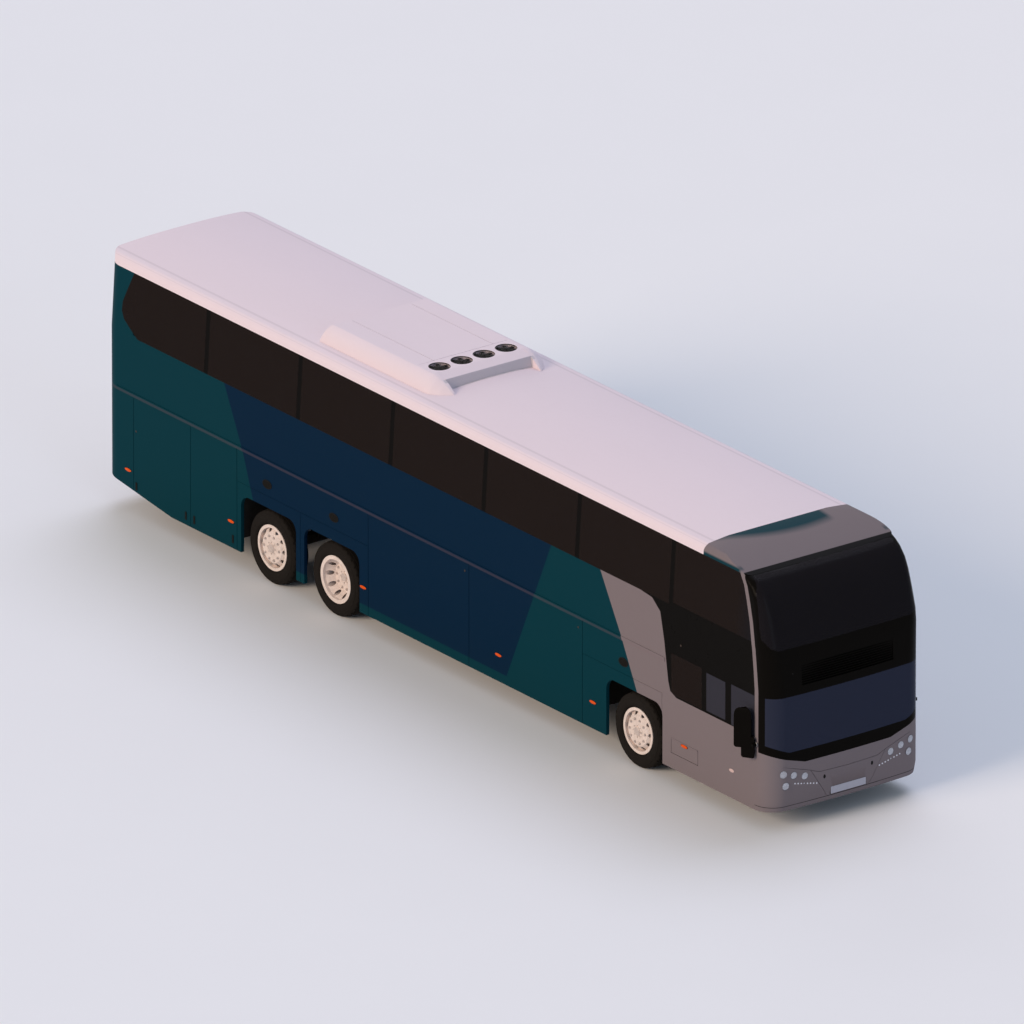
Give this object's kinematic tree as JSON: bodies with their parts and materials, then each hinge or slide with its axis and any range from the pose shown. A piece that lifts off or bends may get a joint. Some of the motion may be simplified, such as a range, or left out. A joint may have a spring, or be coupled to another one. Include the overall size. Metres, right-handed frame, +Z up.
{
  "type": "three-axle high-deck coach bus",
  "caption": "High-deck touring coach with a low driver's cab, twin windscreens, opening luggage and engine flaps, steered front wheels and a roof cooling unit.",
  "frame": {"origin": "on the ground, below the middle of the vehicle's bounding box", "axes": "+X forward, +Y to the vehicle's left, +Z up"},
  "size_m": [14.65, 2.968, 3.835],
  "materials": {
    "teal_paint": "two-tone teal and navy gloss body paint with a grey front end",
    "grey_paint": "warm grey gloss body paint",
    "white_paint": "satin white roof paint",
    "gloss_black": "gloss black",
    "tinted_glass": "dark tinted glazing",
    "lamp_lens": "clear lamp lenses",
    "red_lens": "red lamp lenses",
    "tyre_rubber": "worn black tyre rubber",
    "rim_paint": "pale enamel on steel wheels",
    "chassis_paint": "matt black chassis paint",
    "cast_steel": "dark cast surface",
    "floor_board": "sealed floor boards under grey vinyl",
    "fan_plastic": "black moulded plastic",
    "seat_fabric": "dark blue seat cloth",
    "dash_plastic": "charcoal moulded plastic"
  },
  "bodies": {
    "coach": {"side_wall_left": "teal_paint", "side_wall_right": "teal_paint", "rear_wall": "teal_paint", "front_panel": "grey_paint", "front_cap": "grey_paint", "side_mask_left": "gloss_black", "side_mask_right": "gloss_black", "front_mask": "gloss_black", "side_glass_left": "tinted_glass", "side_glass_right": "tinted_glass", "end_glass": "tinted_glass", "roof_shell": "white_paint", "roof_unit": "white_paint", "headlamps": "lamp_lens", "tail_lamps": "red_lens", "mirrors": "gloss_black", "deck_floor": "floor_board", "cab_floor": "floor_board", "underframe": "chassis_paint", "front_axle": "chassis_paint", "rear_axles": "chassis_paint", "engine_block": "cast_steel", "passenger_seats": "seat_fabric", "driver_seat": "seat_fabric", "dashboard": "dash_plastic"},
    "front_wheel_left": {"front_rim_left": "rim_paint", "front_tyre_left": "tyre_rubber"},
    "front_wheel_right": {"front_rim_right": "rim_paint", "front_tyre_right": "tyre_rubber"},
    "drive_wheel_left": {"drive_rim_left": "rim_paint", "drive_tyre_left": "tyre_rubber"},
    "drive_wheel_right": {"drive_rim_right": "rim_paint", "drive_tyre_right": "tyre_rubber"},
    "tag_wheel_left": {"tag_rim_left": "rim_paint", "tag_tyre_left": "tyre_rubber"},
    "tag_wheel_right": {"tag_rim_right": "rim_paint", "tag_tyre_right": "tyre_rubber"},
    "knuckle_left": {"knuckle_left": "cast_steel"},
    "knuckle_right": {"knuckle_right": "cast_steel"},
    "luggage_door_rear_left": {"luggage_door_rear_left": "teal_paint"},
    "luggage_door_front_left": {"luggage_door_front_left": "teal_paint"},
    "luggage_door_rear_right": {"luggage_door_rear_right": "teal_paint"},
    "luggage_door_front_right": {"luggage_door_front_right": "teal_paint"},
    "engine_flap_left": {"engine_flap_left": "teal_paint"},
    "engine_flap_right": {"engine_flap_right": "teal_paint"},
    "battery_flap_right": {"battery_flap_right": "teal_paint"},
    "service_flap_right": {"service_flap_right": "grey_paint"},
    "engine_lid": {"engine_lid": "teal_paint"},
    "door_arm": {"door_arm": "chassis_paint"},
    "door_leaf": {"door_leaf": "grey_paint", "door_glass": "tinted_glass"},
    "roof_fan_1": {"roof_fan_1": "fan_plastic"},
    "roof_fan_2": {"roof_fan_2": "fan_plastic"},
    "roof_fan_3": {"roof_fan_3": "fan_plastic"},
    "roof_fan_4": {"roof_fan_4": "fan_plastic"},
    "steering_wheel": {"steering_wheel": "dash_plastic"}
  },
  "joints": [
    {"name": "steer_right", "type": "hinge", "parent": "coach", "child": "knuckle_right", "pos_m": [4.376, -0.86, 0.515], "axis": [0, 0, 1], "range_deg": [-45, 45]},
    {"name": "steer_left", "type": "hinge", "parent": "coach", "child": "knuckle_left", "pos_m": [4.376, 0.86, 0.515], "axis": [0, 0, 1], "range_deg": [-45, 45]},
    {"name": "front_spin_left", "type": "hinge", "parent": "knuckle_left", "child": "front_wheel_left", "pos_m": [4.376, 1.097, 0.515], "axis": [0, 1, 0], "continuous": true},
    {"name": "front_spin_right", "type": "hinge", "parent": "knuckle_right", "child": "front_wheel_right", "pos_m": [4.376, -1.097, 0.515], "axis": [0, 1, 0], "continuous": true},
    {"name": "drive_spin_left", "type": "hinge", "parent": "coach", "child": "drive_wheel_left", "pos_m": [-2.244, 1.097, 0.515], "axis": [0, 1, 0], "continuous": true},
    {"name": "drive_spin_right", "type": "hinge", "parent": "coach", "child": "drive_wheel_right", "pos_m": [-2.244, -1.097, 0.515], "axis": [0, 1, 0], "continuous": true},
    {"name": "tag_spin_left", "type": "hinge", "parent": "coach", "child": "tag_wheel_left", "pos_m": [-3.644, 1.097, 0.515], "axis": [0, 1, 0], "continuous": true},
    {"name": "tag_spin_right", "type": "hinge", "parent": "coach", "child": "tag_wheel_right", "pos_m": [-3.644, -1.097, 0.515], "axis": [0, 1, 0], "continuous": true},
    {"name": "luggage_door_rear_left_hinge", "type": "hinge", "parent": "coach", "child": "luggage_door_rear_left", "pos_m": [-0.3355, 1.275, 1.7167], "axis": [1, 0, 0], "range_deg": [0, 88]},
    {"name": "luggage_door_front_left_hinge", "type": "hinge", "parent": "coach", "child": "luggage_door_front_left", "pos_m": [2.0085, 1.275, 1.7167], "axis": [1, 0, 0], "range_deg": [0, 88]},
    {"name": "luggage_door_rear_right_hinge", "type": "hinge", "parent": "coach", "child": "luggage_door_rear_right", "pos_m": [-0.3355, -1.275, 1.7167], "axis": [-1, 0, 0], "range_deg": [0, 88]},
    {"name": "luggage_door_front_right_hinge", "type": "hinge", "parent": "coach", "child": "luggage_door_front_right", "pos_m": [2.0085, -1.275, 1.7167], "axis": [-1, 0, 0], "range_deg": [0, 88]},
    {"name": "engine_flap_left_hinge", "type": "hinge", "parent": "coach", "child": "engine_flap_left", "pos_m": [-5.494, 1.275, 1.7167], "axis": [1, 0, 0], "range_deg": [0, 88]},
    {"name": "engine_flap_right_hinge", "type": "hinge", "parent": "coach", "child": "engine_flap_right", "pos_m": [-6.01, -1.275, 1.7167], "axis": [-1, 0, 0], "range_deg": [0, 88]},
    {"name": "battery_flap_right_hinge", "type": "hinge", "parent": "coach", "child": "battery_flap_right", "pos_m": [-4.859, -1.275, 1.7167], "axis": [-1, 0, 0], "range_deg": [0, 88]},
    {"name": "service_flap_right_hinge", "type": "hinge", "parent": "coach", "child": "service_flap_right", "pos_m": [5.462, -1.275, 0.6927], "axis": [-1, 0, 0], "range_deg": [0, 88]},
    {"name": "engine_lid_hinge", "type": "hinge", "parent": "coach", "child": "engine_lid", "pos_m": [-7.317, 0, 1.7417], "axis": [0, 1, 0], "range_deg": [0, 85]},
    {"name": "door_swing", "type": "hinge", "parent": "coach", "child": "door_arm", "pos_m": [5.7, 1.15, 1.1], "axis": [0, 0, 1], "range_deg": [0, 100]},
    {"name": "door_leaf_turn", "type": "hinge", "parent": "door_arm", "child": "door_leaf", "pos_m": [6.3, 1.15, 1.1], "axis": [0, 0, 1], "range_deg": [-100, 0]},
    {"name": "roof_fan_1_spin", "type": "hinge", "parent": "coach", "child": "roof_fan_1", "pos_m": [-0.84, -0.549, 3.8], "axis": [0, 0, 1], "continuous": true},
    {"name": "roof_fan_2_spin", "type": "hinge", "parent": "coach", "child": "roof_fan_2", "pos_m": [-0.84, -0.183, 3.8], "axis": [0, 0, 1], "continuous": true},
    {"name": "roof_fan_3_spin", "type": "hinge", "parent": "coach", "child": "roof_fan_3", "pos_m": [-0.84, 0.183, 3.8], "axis": [0, 0, 1], "continuous": true},
    {"name": "roof_fan_4_spin", "type": "hinge", "parent": "coach", "child": "roof_fan_4", "pos_m": [-0.84, 0.549, 3.8], "axis": [0, 0, 1], "continuous": true},
    {"name": "steering_wheel_turn", "type": "hinge", "parent": "coach", "child": "steering_wheel", "pos_m": [6.425, -0.62, 1.29], "axis": [-0.5736, 0, 0.8192], "range_deg": [-540, 540]}
  ],
  "couplings": [
    {"joint": "steer_left", "follows": "steer_right", "ratio": 1},
    {"joint": "steering_wheel_turn", "follows": "steer_right", "ratio": 12},
    {"joint": "door_leaf_turn", "follows": "door_swing", "ratio": -1}
  ]
}
